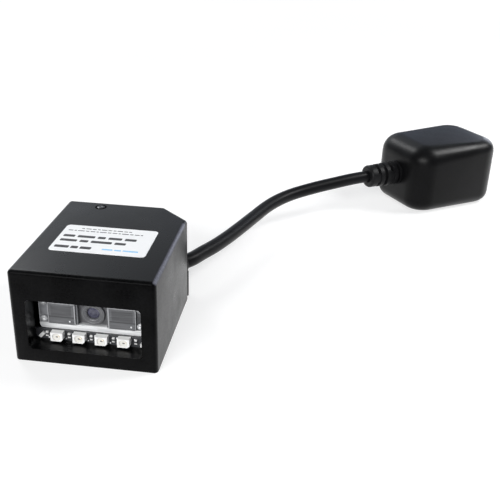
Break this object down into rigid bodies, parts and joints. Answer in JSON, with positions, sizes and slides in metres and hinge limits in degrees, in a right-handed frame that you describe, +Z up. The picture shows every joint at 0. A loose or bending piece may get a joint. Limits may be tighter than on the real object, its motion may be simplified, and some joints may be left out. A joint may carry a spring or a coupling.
{
  "type": "fixed barcode reader",
  "caption": "Small box-shaped fixed barcode reader with lamps and a camera behind its front window, and a captive cable to a rounded connector block.",
  "frame": {"origin": "middle of the reader's underside", "axes": "+Z up; the front window faces -Y; +X is to the right of someone who faces the window"},
  "size_m": [0.1589, 0.1805, 0.0296],
  "materials": {
    "black_shell": "satin",
    "black_base": "satin",
    "black_screw": "blackened",
    "label_film": "matte",
    "gloss_black": "glossy",
    "clear_moulding": "clear",
    "carrier_black": "satin",
    "reflector_grey": "satin",
    "lens_tube": "black anodised",
    "coated_glass": "coated",
    "green_board": "satin",
    "black_board": "satin",
    "chip_black": "matte",
    "lamp_white": "satin",
    "lamp_fill": "clear",
    "tin": "bright",
    "chip_white": "matte",
    "steel": "bright",
    "ivory": "satin",
    "amber_film": "satin",
    "rubber_black": "matte",
    "cable_black": "satin",
    "wire_skins": "satin",
    "block_black": "satin",
    "jack_black": "satin",
    "gold": "bright"
  },
  "bodies": {
    "root": {"housing": "black_shell", "base_plate": "black_base", "cover_screw": "black_screw", "base_screws": "black_screw", "top_label": "label_film", "optics_shroud": "gloss_black", "lens_plate": "clear_moulding", "engine_frame": "carrier_black", "reflectors": "reflector_grey", "camera_barrel": "lens_tube", "camera_lens": "coated_glass", "engine_board": "green_board", "image_sensor": "chip_black", "engine_leds": "lamp_white", "engine_screws": "steel", "led_board": "black_board", "led_1": "lamp_white", "led_2": "lamp_white", "led_3": "lamp_white", "led_4": "lamp_white", "led_fills": "lamp_fill", "led_contacts": "tin", "led_resistors": "chip_white", "decode_board": "green_board", "processor": "chip_black", "memory": "chip_black", "buzzer": "chip_black", "ribbon_connectors": "ivory", "ribbon": "amber_film", "cable_header": "ivory", "board_screws": "steel", "cable_grommet": "rubber_black", "cable_plug": "ivory", "cable_wires": "wire_skins", "cable": "cable_black", "strain_relief": "rubber_black", "connector_housing": "block_black", "jack_insert": "jack_black", "jack_contacts": "gold"}
  },
  "joints": []
}
